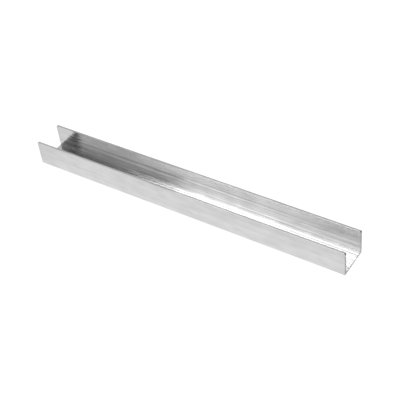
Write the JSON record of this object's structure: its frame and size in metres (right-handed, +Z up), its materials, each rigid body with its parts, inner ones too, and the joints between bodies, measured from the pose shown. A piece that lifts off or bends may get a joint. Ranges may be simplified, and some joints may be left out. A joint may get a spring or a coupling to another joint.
{
  "type": "aluminium u channel extrusion profile",
  "caption": "Straight extruded aluminium U channel with equal legs and a flat web, sawn square at both ends; holds or edges a panel in its slot.",
  "frame": {"origin": "middle of the underside of the web, halfway along the length", "axes": "+X along the extrusion, +Y across the slot, +Z up out of the slot, the legs pointing up"},
  "size_m": [0.3, 0.028, 0.023],
  "materials": {
    "mill_aluminium": "mill finish, fine die lines along the length, sawn ends"
  },
  "bodies": {
    "root": {"u_channel": "mill_aluminium"}
  },
  "joints": []
}
